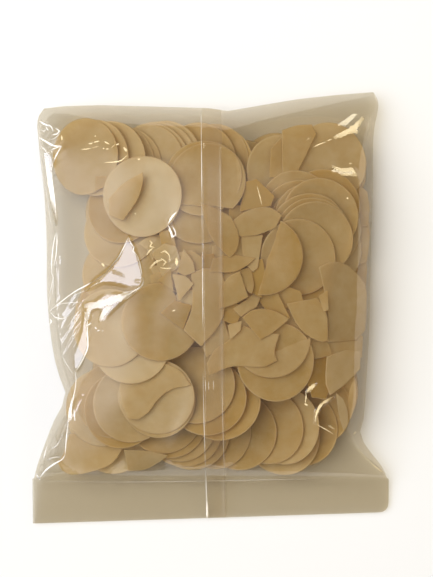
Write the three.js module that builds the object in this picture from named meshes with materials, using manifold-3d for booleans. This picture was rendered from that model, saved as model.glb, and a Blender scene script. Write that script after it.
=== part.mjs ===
// A clear pillow bag of rice papads, lying on its front with the back lap seam up.
// The bag is sealed, so film and contents are one solid: a pillow with its wide end seal, lap seam
// and folded-back top, and the whole and broken papads that show through the film fused on.
// Millimetres, +Z up. X runs across the bag and Y along it, from the end seal to the folded top.

import * as THREE from "three";
import { mergeVertices } from "three/addons/utils/BufferGeometryUtils.js";
import Module from "manifold-3d";

// Driving dimensions of the pillow
const SEAL_LINE_Y = -98; // where the pillow ends and the end seal begins
const TOP_FOLD_Y = 115; // where the top is folded back under the bag
const CORE_HEIGHT = 43.5; // crown of the pillow under the papads that stand out of it
const SIDE_FOLD_HEIGHT = 14; // height of the creased side edges at mid-length
const SEAL_END_HEIGHT = 4; // the side edges come down to this height at the end seal
const TOP_END_HEIGHT = 9; // and to this height at the folded top
const EDGE_THICKNESS = 1; // film pressed together at both ends
const END_ROUNDNESS = 2.3; // how full the pillow stays towards its ends
const LEFT_ROUNDNESS = 2.6; // the left side is a little slacker
const RIGHT_ROUNDNESS = 2.8; // the right side is packed full
const UNDER_ROUNDNESS = 4.5;
const UNDER_FLATTENING = 1.5; // depth pressed flat by the table
const SEAL_END_LIFT = 22; // length over which the underside lifts towards the end seal
const TOP_END_LIFT = 44; // and towards the folded top
const PILLOW_ROWS = 34; // facets along the pillow
const PILLOW_AROUND = 28; // and round it

// Side edges of the filled bag: y, left x, right x
const SIDE_FOLDS = [
  [-98, -101.5, 101.5],
  [-90, -99.3, 97.9],
  [-83, -96.8, 92.2],
  [-72, -92.7, 85.5],
  [-62, -88.5, 87.4],
  [-50, -82.6, 88.2],
  [-35, -87.4, 89],
  [-15, -91, 90.2],
  [10, -93.1, 90.8],
  [35, -93.2, 91.2],
  [65, -94.7, 92.4],
  [96, -98, 93],
  [110, -98.2, 95.7],
  [115, -95, 93],
];

// The top edge dips where the lap seam crosses it and climbs to an ear at its right end
const EAR_RISE = 8.9;
const EAR_BOW = 0.75; // under 1, so the edge climbs steeply first and then levels out
const NOTCH_DEPTH = 2.5;
const NOTCH_AT = 0.09; // fraction of the half width from the middle
const NOTCH_WIDTH = 0.1;
const EAR_REACH = 40; // length of the pillow that the ear pulls on

// End seal: a flat strip, its lower edge cut askew
const SEAL_STRIP = { left: -102.5, right: 102.5, lowLeft: -124, lowRight: -117.5, corner: 6, droop: 5 };
const STRIP_OVERLAP = 3; // reach of the strip into the pillow
const STRIP_INSET = 5;

// Lap seam along the back, and the flap folded under the top
const SEAM_WIDTH = 10;
const SEAM_PROUD = 2.8;
const SEAM_ROOT = 4; // depth of the seam's foot in the pillow
const SEAM_STEPS = 22;
const SEAM_TOP_X = 0.5;
const SEAM_DRIFT = 3; // the seam wanders to the right on its way down
const FLAP = { fromY: 112, toY: 92, left: -90, right: 88, fromZ: 9, toZ: 1.2 };

// Papads: flat discs of sun-dried dough
const PAPAD_RADIUS = 22.3;
const PAPAD_THICKNESS = 1;
const PAPAD_SIDES = 14;
const RIM_PROUD = 2.2; // how far a papad's raised rim stands out of the core
const BREAK_STEPS = 4; // corners along a broken edge
const BREAK_WAVE = 1.6; // how far they lie off the straight

// Fans of overlapping papads: centre of the front one, centre of the last one, how many, lean in degrees
const FANS = [
  [[-70, 85], [-57, 84], 3, 9],
  [[-38, 62], [-32, 82], 3, 9],
  [[-43, 53], [-52, 38], 2, 9],
  [[-7, 77], [-12, 82], 2, 9],
  [[3, 77], [7, 82], 2, 9],
  [[65, 85], [41, 78], 3, 11],
  [[48, 31], [50, 55], 4, 9],
  [[62, 45], [66, 52], 2, 9],
  [[-57, -11], [-44, -21], 2, 7],
  [[-30, -49], [-48, -57], 3, 10],
  [[-22, -58], [-11, -69], 3, 10],
  [[-8, -47], [9, -59], 3, 12],
  [[6, -68], [50, -68], 5, 30],
  [[52, -64], [67, -49], 3, 18],
];

// Papads that lie alone: centre, lean, compass direction of the raised rim
const SINGLES = [
  [[-52, 19], 5, 20],
  [[36, -29], 6, 270],
  [[-68, -73], 4, 250],
  [[-60, -60], 6, 180],
  [[65, 66], 5, 0],
  [[66, 32], 4, 0],
];

// Broken papads: centre of the whole disc, the arc of rim that is left (degrees), lean, raised towards
const BROKEN = [
  [[-2, 71], -48, 217, 4, 90],
  [[30, 29], -99, 65, 8, 0],
  [[-28, -7], 160, 331, 6, 240],
  [[-32, -48], 13, 227, 5, 150],
  [[34, -16], 219, 362, 6, 290],
  [[65, 4], -75, 105, 3, 0],
];

// Shards: centre, length, width, compass direction of their length
const SHARDS = [
  [[-47, 62], 31, 17, 60],
  [[5, 44], 35, 15, -57],
  [[26, 49], 28, 15, 5],
  [[26, 63], 19, 16, -40],
  [[23, 31], 19, 12, 90],
  [[13, 10], 21, 13, 55],
  [[-15, 13], 15, 10, -60],
  [[-4, -1], 42, 19, -80],
  [[-20, -3], 19, 12, -25],
  [[31, -7], 27, 14, -5],
  [[55, -5], 27, 21, -40],
  [[-8, 49], 26, 21, -60],
  [[-40, -85], 20, 10, 15],
  [[-34, 34], 18, 13, 60],
  [[20, -21], 34, 22, 10],
  [[73, -35], 25, 20, 40],
];
const SHARD_PROUD = 1.6; // how far a shard stands out of the core
const SLOPE_REACH = 5; // the pillow's slope under a piece is taken over this distance

const wasm = await Module();
wasm.setup();

const middleY = (SEAL_LINE_Y + TOP_FOLD_Y) / 2;
const halfLength = (TOP_FOLD_Y - SEAL_LINE_Y) / 2;
const sideFolds = new THREE.CubicInterpolant(
  SIDE_FOLDS.map((fold) => fold[0]),
  SIDE_FOLDS.flatMap((fold) => fold.slice(1)),
  2,
);
const { lerp, smoothstep, degToRad } = THREE.MathUtils;

function toSolid(geometry) {
  geometry.deleteAttribute("normal");
  geometry.deleteAttribute("uv");
  const merged = mergeVertices(geometry);
  const vertProperties = new Float32Array(merged.attributes.position.array);
  const triVerts = new Uint32Array(merged.index.array);
  return new wasm.Manifold(new wasm.Mesh({ numProp: 3, vertProperties, triVerts }));
}

function toGeometry(solid) {
  const mesh = solid.getMesh();
  const geometry = new THREE.BufferGeometry();
  geometry.setAttribute("position", new THREE.BufferAttribute(mesh.vertProperties, 3));
  geometry.setIndex(new THREE.BufferAttribute(mesh.triVerts, 1));
  geometry.computeVertexNormals();
  return geometry;
}

// A closed skin over rows of points. Each row is a loop with as many points as the others, and its
// two ends are closed by pairing the points on either side of the loop.
function loft(rows) {
  const around = rows[0].length;
  const positions = rows.flat(2);
  const faces = [];
  for (let row = 0; row + 1 < rows.length; row += 1) {
    for (let i = 0; i < around; i += 1) {
      const a = row * around + i;
      const b = row * around + ((i + 1) % around);
      faces.push(a, b + around, b, a, a + around, b + around);
    }
  }
  const lastRow = (rows.length - 1) * around;
  for (let i = 0; i < around / 2; i += 1) {
    const [a, b, c, d] = [i, i + 1, around - i - 1, (around - i) % around];
    if (c !== b) {
      faces.push(a, b, c, lastRow + a, lastRow + c, lastRow + b);
    }
    if (d !== a) {
      faces.push(a, c, d, lastRow + a, lastRow + d, lastRow + c);
    }
  }
  const geometry = new THREE.BufferGeometry();
  geometry.setAttribute("position", new THREE.Float32BufferAttribute(positions, 3));
  geometry.setIndex(faces);
  return geometry;
}

// Cross-section of the pillow at one place along it
function sectionAt(y) {
  const [left, right] = sideFolds.evaluate(THREE.MathUtils.clamp(y, SEAL_LINE_Y, TOP_FOLD_Y));
  const along = Math.min(1, Math.abs(y - middleY) / halfLength);
  const swell = (1 - along ** END_ROUNDNESS) ** (1 / END_ROUNDNESS);
  const endHeight = y < middleY ? SEAL_END_HEIGHT : TOP_END_HEIGHT;
  const fold = lerp(endHeight, SIDE_FOLD_HEIGHT, swell);
  const crown = lerp(endHeight + EDGE_THICKNESS / 2, CORE_HEIGHT, swell);
  const lift = Math.max(
    1 - smoothstep(y, SEAL_LINE_Y, SEAL_LINE_Y + SEAL_END_LIFT),
    smoothstep(y, TOP_FOLD_Y - TOP_END_LIFT, TOP_FOLD_Y),
  );
  const under = lift * (endHeight - EDGE_THICKNESS / 2);
  return { centre: (left + right) / 2, half: (right - left) / 2, fold, crown, under };
}

// How far the top edge is pulled up or down at a fraction of the half width
function topPull(across) {
  const ear = Math.max(0, across - NOTCH_AT) / (1 - NOTCH_AT);
  const notch = Math.exp(-(((across - NOTCH_AT) / NOTCH_WIDTH) ** 2));
  return EAR_RISE * ear ** EAR_BOW - NOTCH_DEPTH * notch;
}

function pullAt(y) {
  return smoothstep(y, TOP_FOLD_Y - EAR_REACH, TOP_FOLD_Y);
}

function pillowPoint(y, angle) {
  const section = sectionAt(y);
  const cos = Math.cos(angle);
  const sin = Math.sin(angle);
  const above = sin >= 0;
  const side = cos < 0 ? LEFT_ROUNDNESS : RIGHT_ROUNDNESS;
  const power = 2 / (above ? side : UNDER_ROUNDNESS);
  const across = Math.sign(cos) * Math.abs(cos) ** power;
  const away = Math.abs(sin) ** power;
  const pressed = section.fold - (section.fold - section.under + UNDER_FLATTENING) * away;
  const z = above ? lerp(section.fold, section.crown, away) : Math.max(section.under, pressed);
  return [section.centre + section.half * across, y + topPull(across) * pullAt(y), z];
}

function pillow() {
  const rows = [];
  for (let row = 0; row <= PILLOW_ROWS; row += 1) {
    const y = middleY - halfLength * Math.cos((Math.PI * row) / PILLOW_ROWS);
    const loop = [];
    for (let i = 0; i < PILLOW_AROUND; i += 1) {
      loop.push(pillowPoint(y, (2 * Math.PI * i) / PILLOW_AROUND));
    }
    rows.push(loop);
  }
  return toSolid(loft(rows));
}

// Height of the pillow's top side over a point of the table
function crownAt(x, y) {
  let straightY = y;
  let across = 0;
  let section = sectionAt(y);
  for (let pass = 0; pass < 4; pass += 1) {
    across = THREE.MathUtils.clamp((x - section.centre) / section.half, -1, 1);
    straightY = y - topPull(across) * pullAt(straightY);
    section = sectionAt(straightY);
  }
  const power = 2 / (across < 0 ? LEFT_ROUNDNESS : RIGHT_ROUNDNESS);
  const cos = Math.abs(across) ** (1 / power);
  return lerp(section.fold, section.crown, Math.sqrt(1 - cos * cos) ** power);
}

function endSeal() {
  const { left, right, lowLeft, lowRight, corner, droop } = SEAL_STRIP;
  const outline = new THREE.Shape();
  outline.moveTo(left + STRIP_INSET, SEAL_LINE_Y + STRIP_OVERLAP);
  outline.lineTo(left, SEAL_LINE_Y);
  outline.lineTo(left, lowLeft);
  outline.lineTo(right - corner, lowRight);
  outline.quadraticCurveTo(right, lowRight, right, lowRight + corner);
  outline.lineTo(right, SEAL_LINE_Y);
  outline.lineTo(right - STRIP_INSET, SEAL_LINE_Y + STRIP_OVERLAP);
  const strip = new THREE.ExtrudeGeometry(outline, {
    depth: EDGE_THICKNESS,
    bevelEnabled: false,
    curveSegments: 4,
  });
  strip.translate(0, -SEAL_LINE_Y, -EDGE_THICKNESS / 2);
  strip.rotateX(degToRad(droop));
  strip.translate(0, SEAL_LINE_Y, SEAL_END_HEIGHT);
  return toSolid(strip);
}

function lapSeam() {
  const rows = [];
  for (let step = 0; step <= SEAM_STEPS; step += 1) {
    const down = 1 - step / SEAM_STEPS;
    const y = lerp(TOP_FOLD_Y - NOTCH_DEPTH, SEAL_LINE_Y, down);
    const x = SEAM_TOP_X + SEAM_DRIFT * down;
    const z = crownAt(x, y);
    const left = x - SEAM_WIDTH / 2;
    const right = x + SEAM_WIDTH / 2;
    const root = Math.max(sectionAt(y).under + EDGE_THICKNESS / 4, z - SEAM_ROOT);
    rows.push([[right, y, root], [right, y, z + SEAM_PROUD], [left, y, z + SEAM_PROUD], [left, y, root]]);
  }
  return toSolid(loft(rows));
}

function foldedFlap() {
  const half = EDGE_THICKNESS / 2;
  const { left, right } = FLAP;
  const rows = [[FLAP.toY, FLAP.toZ], [FLAP.fromY, FLAP.fromZ]].map(([y, z]) => [
    [right, y, z - half],
    [right, y, z + half],
    [left, y, z + half],
    [left, y, z - half],
  ]);
  return toSolid(loft(rows));
}

// A flat piece of papad, from its outline
function plate(outline) {
  const geometry = new THREE.ExtrudeGeometry(outline, {
    depth: PAPAD_THICKNESS,
    bevelEnabled: false,
    curveSegments: PAPAD_SIDES,
  });
  return geometry.translate(0, 0, -PAPAD_THICKNESS / 2);
}

function wholePapad() {
  const geometry = new THREE.CylinderGeometry(PAPAD_RADIUS, PAPAD_RADIUS, PAPAD_THICKNESS, PAPAD_SIDES);
  return geometry.rotateX(Math.PI / 2);
}

// What is left of a papad between two points of its rim, with a wavy break between them
function brokenPapad(fromDegrees, toDegrees) {
  const rim = Math.round((PAPAD_SIDES * (toDegrees - fromDegrees)) / 360);
  const corners = [];
  for (let i = 0; i <= rim; i += 1) {
    const angle = degToRad(lerp(fromDegrees, toDegrees, i / rim));
    corners.push(new THREE.Vector2(Math.cos(angle), Math.sin(angle)).multiplyScalar(PAPAD_RADIUS));
  }
  const start = corners[0];
  const end = corners[rim];
  const sideways = new THREE.Vector2(start.y - end.y, end.x - start.x).normalize();
  for (let i = 1; i < BREAK_STEPS; i += 1) {
    const wave = BREAK_WAVE * Math.cos(Math.PI * i);
    corners.push(end.clone().lerp(start, i / BREAK_STEPS).addScaledVector(sideways, wave));
  }
  return plate(new THREE.Shape(corners));
}

// A shard: one rim side, and two broken sides that meet in a blunt corner
function shard(length, width, turn) {
  const outline = new THREE.Shape([
    new THREE.Vector2(-0.5 * length, -0.1 * width),
    new THREE.Vector2(-0.1 * length, -0.5 * width),
    new THREE.Vector2(0.34 * length, -0.38 * width),
    new THREE.Vector2(0.5 * length, 0.12 * width),
    new THREE.Vector2(0.12 * length, 0.5 * width),
    new THREE.Vector2(-0.26 * length, 0.4 * width),
  ]);
  return plate(outline).rotateZ(degToRad(turn));
}

// Lays a piece on the pillow, leaning out of it so that one rim stands proud
function laid(geometry, [x, y], lean, toward, proud) {
  const slopeX = (crownAt(x + SLOPE_REACH, y) - crownAt(x - SLOPE_REACH, y)) / (2 * SLOPE_REACH);
  const slopeY = (crownAt(x, y + SLOPE_REACH) - crownAt(x, y - SLOPE_REACH)) / (2 * SLOPE_REACH);
  const normal = new THREE.Vector3(-slopeX, -slopeY, 1).normalize();
  const upright = new THREE.Quaternion().setFromUnitVectors(new THREE.Vector3(0, 0, 1), normal);
  const heading = degToRad(toward);
  const hinge = new THREE.Vector3(Math.sin(heading), -Math.cos(heading), 0);
  const leaning = new THREE.Quaternion().setFromAxisAngle(hinge, degToRad(lean));
  const sunk = proud - PAPAD_RADIUS * Math.sin(degToRad(lean));
  const centre = new THREE.Vector3(x, y, crownAt(x, y)).addScaledVector(normal, sunk);
  geometry.applyQuaternion(upright.multiply(leaning));
  return toSolid(geometry.translate(centre.x, centre.y, centre.z));
}

function fan([front, last, count, lean]) {
  const toward = THREE.MathUtils.radToDeg(Math.atan2(last[1] - front[1], last[0] - front[0]));
  const papads = [];
  for (let i = 0; i < count; i += 1) {
    const share = i / (count - 1);
    const centre = [lerp(front[0], last[0], share), lerp(front[1], last[1], share)];
    papads.push(laid(wholePapad(), centre, lean, toward, RIM_PROUD));
  }
  return papads;
}

function papadBag() {
  const pieces = [
    endSeal(),
    foldedFlap(),
    ...FANS.flatMap(fan),
    ...SINGLES.map(([centre, lean, toward]) => laid(wholePapad(), centre, lean, toward, RIM_PROUD)),
    ...BROKEN.map(([centre, from, to, lean, toward]) =>
      laid(brokenPapad(from, to), centre, lean, toward, RIM_PROUD)),
    ...SHARDS.map(([centre, length, width, turn]) =>
      laid(shard(length, width, turn), centre, 0, 0, SHARD_PROUD)),
    lapSeam(),
  ];
  const fused = pieces.reduce((bag, piece) => bag.add(piece), pillow());
  const largest = (a, b) => (b.volume() > a.volume() ? b : a);
  return toGeometry(fused.decompose().reduce(largest));
}

const papadsThroughFilm = new THREE.MeshStandardMaterial({ color: 0xb3946a, roughness: 0.3, metalness: 0 });
const bag = new THREE.Mesh(papadBag(), papadsThroughFilm);
bag.name = "papad_bag";

const part = new THREE.Group();
part.add(bag);

export default part;
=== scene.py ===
import math

import bpy
import numpy as np
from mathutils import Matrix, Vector
from mathutils.bvhtree import BVHTree


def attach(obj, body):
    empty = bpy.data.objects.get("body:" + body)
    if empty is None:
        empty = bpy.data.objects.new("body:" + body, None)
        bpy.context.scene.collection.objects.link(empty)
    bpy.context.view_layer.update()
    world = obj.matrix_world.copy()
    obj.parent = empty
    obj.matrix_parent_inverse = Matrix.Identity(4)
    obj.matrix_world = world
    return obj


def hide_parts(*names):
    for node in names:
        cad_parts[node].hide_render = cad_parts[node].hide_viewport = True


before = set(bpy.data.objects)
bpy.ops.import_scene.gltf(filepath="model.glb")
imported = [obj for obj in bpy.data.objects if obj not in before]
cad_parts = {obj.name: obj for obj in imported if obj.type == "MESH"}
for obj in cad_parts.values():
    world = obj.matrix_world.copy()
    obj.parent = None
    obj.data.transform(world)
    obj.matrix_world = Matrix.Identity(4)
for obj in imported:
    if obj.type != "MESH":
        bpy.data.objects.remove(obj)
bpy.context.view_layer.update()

# Film bag, upper sheet
# The back of a pillow bag: clear cast polypropylene film, folded into a tube with a lap seam, filled, and
# sealed across both ends. Lying on its front, it shows this sheet: taut over the papads, slack and creased
# along its left side, and pressed flat in the wide end seal.
MM = 0.001
PHOTO_SIZE = (433, 577)  # pixels
PHOTO_CENTRE = (PHOTO_SIZE[0] / 2, PHOTO_SIZE[1] / 2)
PHOTO_CENTRE_ON_TABLE = (3.4, 11.6)  # mm
MM_PER_PIXEL = 0.574  # at the height of the bag's outline
OUTLINE_HEIGHT = 6.0  # mm
CAMERA_HEIGHT = 900.0  # mm
USUAL_HEIGHT = 30.0  # mm, a first guess at how high the film is where a pixel looks
SIGHT_ROUNDS = 3  # how often that guess is put right
SIDE_REACH = 101.0  # mm to either side, just inside the corners of the end seal
TOP_ENDS = (-94.0, 92.0)  # mm, the ends of the top edge
LEVEL_POINTS = 90  # points of the top edge that run level, from the left
TOP_TRIM = 0.1  # mm
FINE_STEPS = 2001
FAR_AWAY = 1e6  # mm
PROBE_STEP = 2  # the solid's height is read at every other row and column
SIDE_INSET = 0.996  # share of the width in which it is read
END_INSET = 0.3  # mm
TABLE_GAP = 0.15  # mm
SHEET_GAP = 0.3  # mm, between the two sheets where they are sealed
SEAL_FADE = 16.0  # mm from the seal until the film spans freely
SHEET_ROWS = 314
SHEET_COLUMNS = 314
COLUMN_DENSITY = ((-1.0, 1.0), (-0.2, 1.0), (-0.15, 0.4), (0.45, 0.4), (0.5, 0.9), (1.0, 0.9))
SEAL_LINE = -98.0  # mm along the bag, where the end seal begins
TOP_PULL_FROM = 75.0  # the rows bend towards the slanting top edge from here on
SLACK = 7.0  # mm, bumps shorter than this are bridged by the film
LOWER_SLACK = 0.5  # share of that on the lower sheet
SHOULDER_REACH = 26.0  # mm in from the left crease
SHOULDER_SLOPE = 0.36
WALL_SLOPE = 3.0
SHOULDER_BLUR = 1.5  # rows
SLACK_WAVES = 9
WAVE_SPREAD = (0.7, 1.5)  # share of a wave's usual length
FINE_FOLD = 0.6  # a second set of folds is this much shorter
FINE_FOLD_DEPTH = 0.4
FACET_EDGE = 0.7  # mm, over which a flat patch of film ends
FACET_RIPPLE_LENGTH = 5.0  # mm
EDGE_INSIDE = 0.3  # share of a soft edge that lies inside its outline
FILM_TINT = "#ede8dd"
FILM_HAZE = 0.015
FILM_ROUGHNESS = 0.035
FILM_MIRROR = 0.08  # share of the light that film facing the eye mirrors
EDGE_MIRROR = 0.35  # what is added where the film turns away
EDGE_POWER = 5.0
TOP_EDGE = ((46, 108), (64, 106), (100, 105), (136, 106), (172, 107), (208, 108), (219, 109.5), (226, 111),
            (236, 109.5), (262, 105), (298, 99), (334, 95), (370, 92))  # pixels of the photo
HAZE_COLOUR = "#f3efe6"


def linear(code):
    """sRGB hex to linear RGB with alpha 1."""
    parts = [int(code[i:i + 2], 16) / 255 for i in (1, 3, 5)]
    return [p / 12.92 if p <= 0.04045 else ((p + 0.055) / 1.055) ** 2.4 for p in parts] + [1.0]


def add_node(tree, kind, settings=None, inputs=None):
    """Adds a shader node. An input takes a plain value, or an output socket to link from."""
    node = tree.nodes.new("ShaderNode" + kind)
    for name, value in (settings or {}).items():
        setattr(node, name, value)
    for name, value in (inputs or {}).items():
        if isinstance(value, bpy.types.NodeSocket):
            tree.links.new(value, node.inputs[name])
        else:
            node.inputs[name].default_value = value
    return node


def new_material(name):
    material = bpy.data.materials.new(name)
    material.use_nodes = True
    material.node_tree.nodes.clear()
    return material, material.node_tree


def mesh_piece(name, points, faces, material):
    """A smooth-shaded object from points in millimetres."""
    mesh = bpy.data.meshes.new(name)
    mesh.from_pydata((np.asarray(points) * MM).tolist(), [], faces)
    mesh.materials.append(material)
    mesh.polygons.foreach_set("use_smooth", [True] * len(mesh.polygons))
    mesh.update()
    piece = bpy.data.objects.new(name, mesh)
    bpy.context.scene.collection.objects.link(piece)
    return piece


def grid_faces(rows, columns):
    """Quads of a sheet whose points are stored row by row."""
    corner = (np.arange(rows - 1)[:, None] * columns + np.arange(columns - 1)).ravel()
    return np.column_stack((corner, corner + 1, corner + columns + 1, corner + columns)).tolist()


def smooth_step(low, high, value):
    share = np.clip((value - low) / (high - low), 0.0, 1.0)
    return share * share * (3.0 - 2.0 * share)


def blurred(field, cells):
    """Gaussian blur over the rows and columns of a field."""
    reach = int(3 * cells)
    weights = np.exp(-0.5 * (np.arange(-reach, reach + 1) / cells) ** 2)
    weights /= weights.sum()
    for axis in (0, 1):
        pad = [(0, 0), (0, 0)]
        pad[axis] = (reach, reach)
        wide = np.pad(field, pad, mode="reflect", reflect_type="odd")
        field = np.apply_along_axis(np.convolve, axis, wide, weights, mode="valid")
    return field


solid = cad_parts["papad_bag"]
corners = np.array([v.co[:] for v in solid.data.vertices]) / MM
edges = np.array([e.vertices[:] for e in solid.data.edges])
solid_tree = BVHTree.FromPolygons(
    [v.co[:] for v in solid.data.vertices], [p.vertices[:] for p in solid.data.polygons])


def slice_ends(axis, place):
    """Where the solid's outline begins and ends along a line across it."""
    start, end = corners[edges[:, 0]], corners[edges[:, 1]]
    crosses = (start[:, axis] - place) * (end[:, axis] - place) < 0
    start, end = start[crosses], end[crosses]
    share = (place - start[:, axis]) / (end[:, axis] - start[:, axis])
    where = start[:, 1 - axis] + share * (end[:, 1 - axis] - start[:, 1 - axis])
    return where.min(), where.max()


def drop(tree, x, y, down):
    """Height at which a vertical ray meets a surface, from above or from below."""
    way = -1.0 if down else 1.0
    hit = tree.ray_cast(Vector((x * MM, y * MM, -way)), Vector((0, 0, way)))[0]
    return math.nan if hit is None else hit.z / MM


probe = np.linspace(-SIDE_REACH, SIDE_REACH, round(2 * SIDE_REACH) + 1)
low_edge = np.array([slice_ends(0, x)[0] for x in probe])
top_probe = np.linspace(*TOP_ENDS, round(TOP_ENDS[1] - TOP_ENDS[0]) + 1)
high_edge = np.array([slice_ends(0, x)[1] for x in top_probe])
low_mean, high_mean = low_edge.mean(), high_edge[:LEVEL_POINTS].mean()

base_y = np.linspace(low_mean, high_mean - TOP_TRIM, SHEET_ROWS)
pull_top = smooth_step(TOP_PULL_FROM, high_mean, base_y)
pull_low = 1.0 - smooth_step(low_mean, SEAL_LINE, base_y)
place_across = np.linspace(-1.0, 1.0, FINE_STEPS)
heaped = np.cumsum(np.interp(place_across, *zip(*COLUMN_DENSITY)))
spread = np.interp(np.linspace(heaped[0], heaped[-1], SHEET_COLUMNS), heaped, place_across)


def row_height(row, x):
    """Place along the bag of a row's point, bent towards the slanting ends."""
    top = np.interp(x, top_probe, high_edge) - high_mean
    low = np.interp(x, probe, low_edge) - low_mean
    return base_y[row] + pull_top[row] * top + pull_low[row] * low


sheet_x = np.empty((SHEET_ROWS, SHEET_COLUMNS))
sheet_y = np.empty_like(sheet_x)
for row in range(SHEET_ROWS):
    left = slice_ends(1, row_height(row, -SIDE_REACH))[0]
    right = slice_ends(1, row_height(row, SIDE_REACH))[1]
    sheet_x[row] = left + (right - left) * (spread + 1.0) / 2.0
    sheet_y[row] = row_height(row, sheet_x[row])


def solid_heights(down):
    """Heights of the solid's upper or lower side under the sheet's points, from every other row."""
    rows = np.unique(np.append(np.arange(0, SHEET_ROWS, PROBE_STEP), SHEET_ROWS - 1))
    columns = np.unique(np.append(np.arange(0, SHEET_COLUMNS, PROBE_STEP), SHEET_COLUMNS - 1))
    middle = sheet_x.mean(axis=1, keepdims=True)
    inset_x = middle + (sheet_x - middle) * SIDE_INSET
    inset_y = np.clip(sheet_y, sheet_y[0] + END_INSET, sheet_y[-1] - END_INSET)
    lines = []
    for row in rows:
        line = np.array([drop(solid_tree, inset_x[row, c], inset_y[row, c], down) for c in columns])
        known = ~np.isnan(line)
        lines.append(np.interp(spread, spread[columns][known], line[known]))
    lines = np.array(lines)
    return np.array([np.interp(np.arange(SHEET_ROWS), rows, lines[:, c]) for c in range(SHEET_COLUMNS)]).T


upper = solid_heights(True)
lower = solid_heights(False)
cells = SLACK / (high_mean - low_mean) * SHEET_ROWS
bridged = smooth_step(SEAL_LINE, SEAL_LINE + SEAL_FADE, base_y)[:, None]
sheet_z = upper + bridged * (blurred(upper, cells) - upper)
under_z = lower + bridged * (blurred(lower, cells * LOWER_SLACK) - lower)
under_z = np.maximum(under_z, TABLE_GAP)
sheet_z = np.maximum(sheet_z, under_z + SHEET_GAP)
hem = (sheet_z + under_z) / 2.0
for field in (sheet_z, under_z):
    field[:, 0], field[:, -1] = hem[:, 0], hem[:, -1]
    field[0], field[-1] = hem[0], hem[-1]


def on_table(pixel, height):
    """Point of the table's plane, raised to a height, that a pixel of the photo looks at."""
    scale = MM_PER_PIXEL * (CAMERA_HEIGHT - height) / (CAMERA_HEIGHT - OUTLINE_HEIGHT)
    x = PHOTO_CENTRE_ON_TABLE[0] + (pixel[0] - PHOTO_CENTRE[0]) * scale
    y = PHOTO_CENTRE_ON_TABLE[1] - (pixel[1] - PHOTO_CENTRE[1]) * scale
    return np.array([x, y])


def height_near(place):
    """Height of the upper sheet's point that is nearest to a place."""
    near = np.argmin((sheet_x - place[0]) ** 2 + (sheet_y - place[1]) ** 2)
    return sheet_z.ravel()[near]


def on_sheet(pixel):
    """Point of the upper sheet that a pixel of the photo looks at."""
    height = USUAL_HEIGHT
    for _ in range(SIGHT_ROUNDS):
        place = on_table(pixel, height)
        height = height_near(place)
    return place


# The top edge dips where the seam crosses it.
edge_place = np.array([on_table(pixel, hem[-1].mean()) for pixel in TOP_EDGE])
edge_shift = np.interp(sheet_x, edge_place[:, 0], edge_place[:, 1])
edge_shift -= np.interp(sheet_x, top_probe, high_edge)
sheet_y += pull_top[:, None] * edge_shift

# The film stands up steeply from the left crease and then runs straight to the papads.
from_left = sheet_x - sheet_x[:, :1]
anchor = np.array([np.interp(SHOULDER_REACH, from_left[row], sheet_z[row]) for row in range(SHEET_ROWS)])
chord = anchor[:, None] - SHOULDER_SLOPE * (SHOULDER_REACH - from_left)
wall = hem[:, :1] + WALL_SLOPE * from_left
shoulder = np.minimum(chord, wall) - sheet_z
sheet_z += bridged * np.where(from_left < SHOULDER_REACH, np.maximum(shoulder, 0.0), 0.0)
sheet_z = sheet_z + bridged * (blurred(sheet_z, SHOULDER_BLUR) - sheet_z)
sheet_z[:, 0], sheet_z[:, -1] = hem[:, 0], hem[:, -1]
sheet_z[0], sheet_z[-1] = hem[0], hem[-1]


def inside(outline, x, y):
    """Which points lie inside a closed outline."""
    within = np.zeros(x.shape, bool)
    for (x0, y0), (x1, y1) in zip(outline, np.roll(outline, -1, axis=0)):
        if y0 != y1:
            spans = (y0 > y) != (y1 > y)
            within ^= spans & (x < x0 + (y - y0) * (x1 - x0) / (y1 - y0))
    return within


def depth_inside(outline):
    """How far inside a closed outline the sheet's points lie, with those outside it negative."""
    nearest = np.full(sheet_x.shape, FAR_AWAY)
    for (x0, y0), (x1, y1) in zip(outline, np.roll(outline, -1, axis=0)):
        run_x, run_y = x1 - x0, y1 - y0
        share = ((sheet_x - x0) * run_x + (sheet_y - y0) * run_y) / (run_x ** 2 + run_y ** 2)
        share = np.clip(share, 0.0, 1.0)
        gap = np.hypot(sheet_x - x0 - share * run_x, sheet_y - y0 - share * run_y)
        nearest = np.minimum(nearest, gap)
    return np.where(inside(outline, sheet_x, sheet_y), nearest, -nearest)


def lamp_place(azimuth, elevation, distance):
    """Where a lamp stands, in millimetres."""
    a, e = math.radians(azimuth), math.radians(elevation)
    return distance * np.array([math.cos(a) * math.cos(e), math.sin(a) * math.cos(e), math.sin(e)])


def mirror_slope(point, lamp):
    """Slopes at which film shows a lamp to the camera."""
    to_eye = np.array([*PHOTO_CENTRE_ON_TABLE, CAMERA_HEIGHT]) - point
    to_lamp = lamp - point
    normal = to_eye / np.linalg.norm(to_eye) + to_lamp / np.linalg.norm(to_lamp)
    return -normal[:2] / normal[2]


def slack_waves(length, seed, along=0.0, stretch=1.0):
    """A field of random soft waves about a length apart, drawn out along an angle."""
    draw = np.random.default_rng(seed)
    turn = math.radians(along)
    run = (sheet_x * math.cos(turn) + sheet_y * math.sin(turn)) / stretch
    side = sheet_y * math.cos(turn) - sheet_x * math.sin(turn)
    field = np.zeros(sheet_x.shape)
    for _ in range(SLACK_WAVES):
        way, start = draw.uniform(0, 2 * math.pi, 2)
        wave = 2 * math.pi / (length * draw.uniform(*WAVE_SPREAD))
        field += np.sin(wave * (run * math.cos(way) + side * math.sin(way)) + start)
    return field / 4.0


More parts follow.
